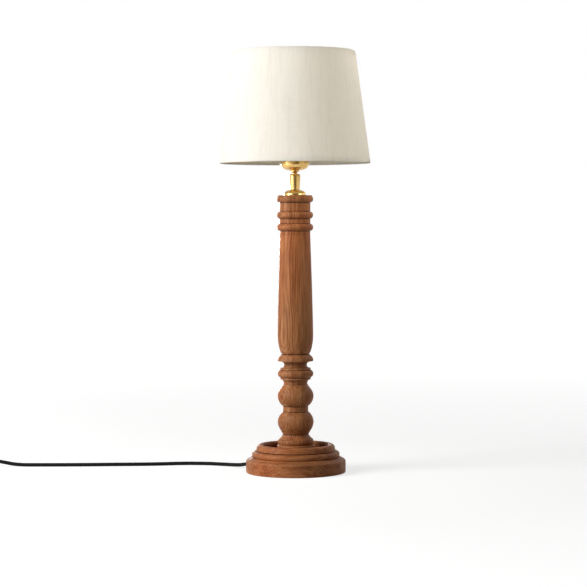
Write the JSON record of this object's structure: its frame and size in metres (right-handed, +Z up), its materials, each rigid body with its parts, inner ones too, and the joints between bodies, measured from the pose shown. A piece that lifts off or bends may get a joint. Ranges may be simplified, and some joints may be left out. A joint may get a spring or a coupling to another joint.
{
  "type": "table lamp with turned wooden base",
  "caption": "Turned wooden table lamp on a dished round plinth, with a brass ball-joint lamp holder, a tapered linen drum shade and a black cloth-covered lead.",
  "frame": {"origin": "centre of the felt pad's underside", "axes": "+Z up the column, -Y towards the picture's camera, +X to the right in the picture"},
  "size_m": [0.7862, 0.249, 0.6944],
  "materials": {
    "wood": "satin, turned along the grain",
    "felt": "matt felt",
    "steel": "zinc plated",
    "brass": "polished, slightly aged",
    "lead_cloth": "braided cloth over rubber",
    "black_plastic": "fine matt",
    "core_insulation": "smooth",
    "insulator": "moulded, white",
    "linen": "woven linen with slubs",
    "shade_lining": "white film",
    "glass": "clear",
    "bulb_metal": "rolled",
    "bulb_black": "black glass insulator",
    "filament": "yellow coated"
  },
  "bodies": {
    "stand": {"plinth": "wood", "felt_pad": "felt", "column": "wood", "threaded_rod": "steel", "bottom_washer": "steel", "bottom_nut": "steel", "top_washer": "steel", "top_nut": "steel", "top_collar": "brass", "cord_gland": "black_plastic", "cord_clamp": "black_plastic", "clamp_screws": "steel", "cord_inner": "lead_cloth", "lower_leads": "core_insulation", "cord_run": "lead_cloth", "cord_tail": "lead_cloth", "cord_coil": "lead_cloth", "cord_end": "lead_cloth", "switch_lower": "black_plastic", "switch_upper": "black_plastic", "switch_screws": "steel", "switch_pin": "steel", "switch_terminals": "brass", "switch_reliefs": "black_plastic", "plug_body": "black_plastic", "plug_pins": "steel", "plug_relief": "black_plastic"},
    "rocker": {"rocker": "black_plastic", "rocker_bridge": "brass"},
    "socket": {"socket_barrel": "brass", "socket_cap": "brass"},
    "head": {"ball_stem": "brass", "stem_nut": "steel", "holder_cup": "brass", "terminal_block": "insulator", "terminal_screws": "brass", "upper_leads": "core_insulation", "centre_contact": "brass", "side_contact": "brass", "insulator_tube": "insulator", "screw_shell": "brass", "holder_sleeve": "brass"},
    "nut": {"shade_nut": "brass"},
    "shade": {"fitter_ring": "steel", "fitter_arms": "steel", "bottom_wire": "steel", "top_wire": "steel", "shade_liner": "shade_lining", "shade_linen": "linen"},
    "bulb": {"bulb_glass": "glass", "bulb_cap": "bulb_metal", "bulb_insulator": "bulb_black", "bulb_contact": "bulb_metal", "bulb_mount": "glass", "bulb_filaments": "filament"}
  },
  "joints": [
    {"name": "neck_swivel", "type": "hinge", "parent": "stand", "child": "socket", "pos_m": [0, 0, 0.4774], "axis": [0, 0, 1], "range_deg": [-170, 170]},
    {"name": "head_tilt", "type": "hinge", "parent": "socket", "child": "head", "pos_m": [0, 0, 0.4877], "axis": [0, 1, 0], "range_deg": [-14, 14]},
    {"name": "nut_unscrew", "type": "slide", "parent": "head", "child": "nut", "axis": [0, 0, 1], "range_m": [0, 0.007]},
    {"name": "shade_turn", "type": "hinge", "parent": "head", "child": "shade", "pos_m": [0, 0, 0.5277], "axis": [0, 0, 1], "continuous": true},
    {"name": "bulb_unscrew", "type": "slide", "parent": "head", "child": "bulb", "axis": [0, 0, 1], "range_m": [0, 0.03]},
    {"name": "rocker_tip", "type": "hinge", "parent": "stand", "child": "rocker", "pos_m": [-0.561, 0.084, 0.0144], "axis": [0, 1, 0], "range_deg": [0, 14]}
  ]
}
